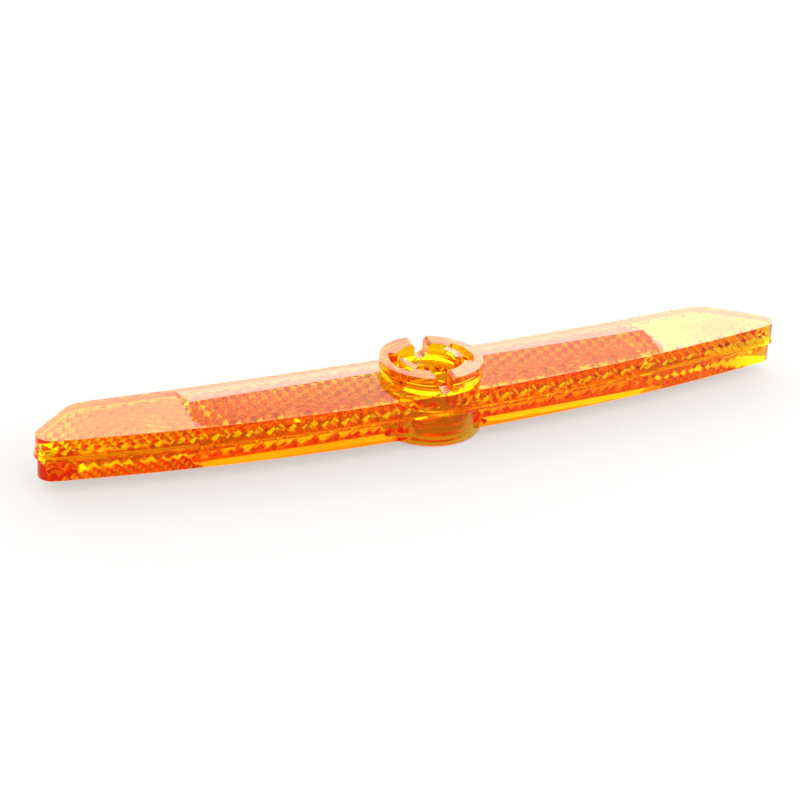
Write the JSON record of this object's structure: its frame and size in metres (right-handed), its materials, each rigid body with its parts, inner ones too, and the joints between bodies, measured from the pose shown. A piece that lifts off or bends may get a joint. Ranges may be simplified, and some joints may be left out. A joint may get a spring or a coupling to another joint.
{
  "type": "bicycle wheel reflector",
  "caption": "Slim bowed amber wheel reflector of two welded shells, with a notched collar and a coin-turned knob that hooks it onto a spoke.",
  "frame": {"origin": "centre of the spoke seat, where the spoke's centreline crosses the clip's axis", "axes": "+X along the reflector's length, -Y towards its convex edge, +Z out of the front face along the clip's axis; the spoke lies in the XY plane, 80 degrees from +X"},
  "size_m": [0.1504, 0.021, 0.0136],
  "materials": {
    "amber_front": "clear amber acrylic, polished outer face, cube-corner prisms moulded on the inner face",
    "amber_back": "clear amber acrylic, polished outer face, cube-corner prisms moulded on the inner face",
    "amber_collar": "clear amber acrylic, gloss",
    "amber_knob": "clear amber acrylic, gloss, fine moulding marks inside the cup"
  },
  "bodies": {
    "reflector": {"front_lens": "amber_front", "back_lens": "amber_back", "spoke_collar": "amber_collar"},
    "knob": {"twist_knob": "amber_knob"}
  },
  "joints": [
    {"name": "clip_turn", "type": "hinge", "parent": "reflector", "child": "knob", "pos_m": [0, 0, -0.005], "axis": [0, 0, 1], "range_deg": [0, 58]}
  ]
}
